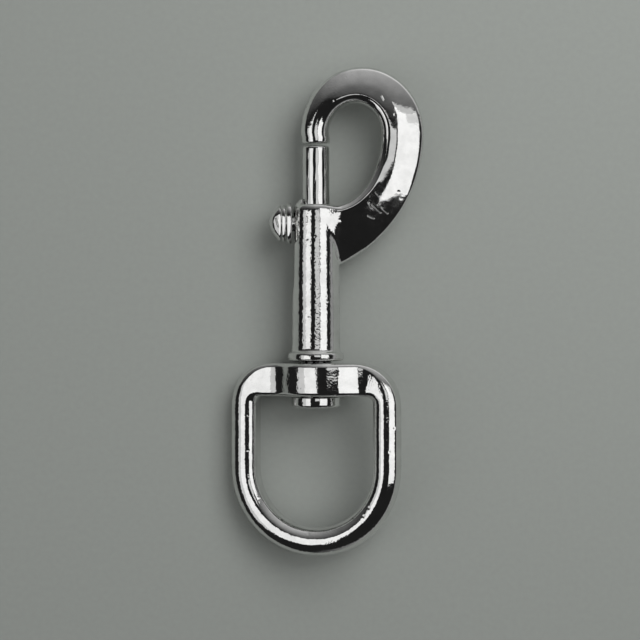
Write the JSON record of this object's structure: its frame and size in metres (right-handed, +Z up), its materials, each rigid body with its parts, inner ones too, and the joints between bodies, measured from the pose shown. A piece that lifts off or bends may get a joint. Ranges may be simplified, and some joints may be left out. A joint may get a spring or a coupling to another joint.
{
  "type": "swivel snap hook",
  "caption": "Cast hook closed by a spring-loaded sliding bolt with a thumb knob, on a turning strap loop, for clipping a strap or cord to a ring.",
  "frame": {"origin": "centre of the part's outline on the surface that it lies on", "axes": "+X across the hook, from the thumb knob towards the hook's back; +Y along the barrel, from the loop towards the crown of the hook; +Z up from the surface"},
  "size_m": [0.0376, 0.0952, 0.0134],
  "materials": {
    "plated_casting": "bright nickel plate on a zinc casting, slightly rippled and pitted",
    "plated_bolt": "bright nickel plate, drawn along its length",
    "plated_knob": "bright nickel plate on a turned knob",
    "spring_wire": "drawn spring wire",
    "plated_stud": "bright nickel plate with a peened edge",
    "plated_loop": "bright nickel plate on a zinc casting, slightly rippled"
  },
  "bodies": {
    "hook": {"hook_body": "plated_casting", "swivel_stud": "plated_stud", "return_spring": "spring_wire"},
    "bolt": {"latch_bolt": "plated_bolt", "thumb_knob": "plated_knob"},
    "loop": {"swivel_loop": "plated_loop"}
  },
  "joints": [
    {"name": "bolt_slide", "type": "slide", "parent": "hook", "child": "bolt", "axis": [0, -1, 0], "range_m": [0, 0.0114], "stiffness_N_per_m": 220, "springref_m": -0.0068, "deforming": ["return_spring"]},
    {"name": "loop_swivel", "type": "hinge", "parent": "hook", "child": "loop", "pos_m": [-0.00221, -0.0135, 0.00668], "axis": [0, 1, 0], "continuous": true}
  ]
}
